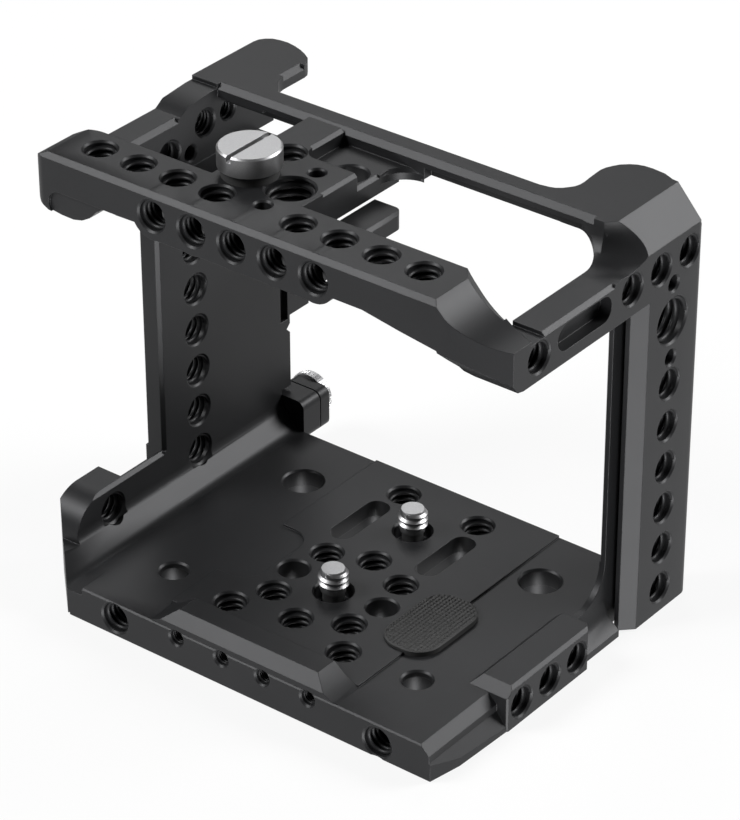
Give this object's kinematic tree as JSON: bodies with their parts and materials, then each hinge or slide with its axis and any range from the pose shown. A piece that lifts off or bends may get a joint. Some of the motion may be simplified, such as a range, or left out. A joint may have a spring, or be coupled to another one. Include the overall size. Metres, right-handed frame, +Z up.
{
  "type": "camera cage",
  "caption": "Machined frame that surrounds a camera body, with tapped mounting holes, captive camera screws and a cable clamp.",
  "frame": {"origin": "centre of the overall box in X and Y, underside of the base in Z", "axes": "+X to the right along the long front, +Y to the back, +Z up"},
  "size_m": [0.1108, 0.0822, 0.0957],
  "materials": {
    "black_anodised": "bead blasted, black anodised",
    "steel": "satin turned",
    "black_steel": "black oxide",
    "rubber": "knurled, matte"
  },
  "bodies": {
    "cage": {"base_plate": "black_anodised", "left_wall": "black_anodised", "left_lug": "black_anodised", "right_lug": "black_anodised", "right_upright": "black_anodised", "top_bar": "black_anodised", "left_bar": "black_anodised", "back_bar": "black_anodised", "centre_block": "black_anodised", "right_bar": "black_anodised", "shelf_tongue": "black_anodised", "rubber_pad": "rubber", "clamp_body": "black_anodised", "clamp_bolts": "black_steel"},
    "front_clip": {"screw_clip_front": "black_steel"},
    "front_screw": {"camera_screw_front": "steel"},
    "back_clip": {"screw_clip_back": "black_steel"},
    "back_screw": {"camera_screw_back": "steel"},
    "washer": {"spare_washer": "rubber"},
    "spare": {"spare_screw": "steel"},
    "jaw": {"clamp_jaw": "black_anodised"},
    "thumb": {"clamp_thumb_screw": "steel"}
  },
  "joints": [
    {"name": "front_screw_drop", "type": "slide", "parent": "cage", "child": "front_clip", "axis": [0, 0, -1], "range_m": [0, 0.0024]},
    {"name": "front_screw_turn", "type": "hinge", "parent": "front_clip", "child": "front_screw", "pos_m": [0.00754, -0.01218, 0], "axis": [0, 0, 1], "continuous": true},
    {"name": "back_screw_drop", "type": "slide", "parent": "cage", "child": "back_clip", "axis": [0, 0, -1], "range_m": [0, 0.0024]},
    {"name": "back_screw_turn", "type": "hinge", "parent": "back_clip", "child": "back_screw", "pos_m": [0.00679, 0.01416, 0], "axis": [0, 0, 1], "continuous": true},
    {"name": "spare_screw_lift", "type": "slide", "parent": "cage", "child": "washer", "axis": [0, 0, 1], "range_m": [0, 0.0086]},
    {"name": "spare_screw_turn", "type": "hinge", "parent": "washer", "child": "spare", "pos_m": [-0.0159, -0.00675, 0.0896], "axis": [0, 0, 1], "range_deg": [0, 2438]},
    {"name": "clamp_jaw_slide", "type": "slide", "parent": "cage", "child": "jaw", "axis": [0, 1, 0], "range_m": [-0.0002, 0.003]},
    {"name": "clamp_thumb_turn", "type": "hinge", "parent": "jaw", "child": "thumb", "pos_m": [-0.03997, 0.03635, 0.01041], "axis": [0, 1, 0], "range_deg": [-145, 2170]}
  ],
  "couplings": [
    {"joint": "spare_screw_turn", "follows": "spare_screw_lift", "rad_per_m": 4947.4},
    {"joint": "clamp_thumb_turn", "follows": "clamp_jaw_slide", "rad_per_m": 12566}
  ]
}
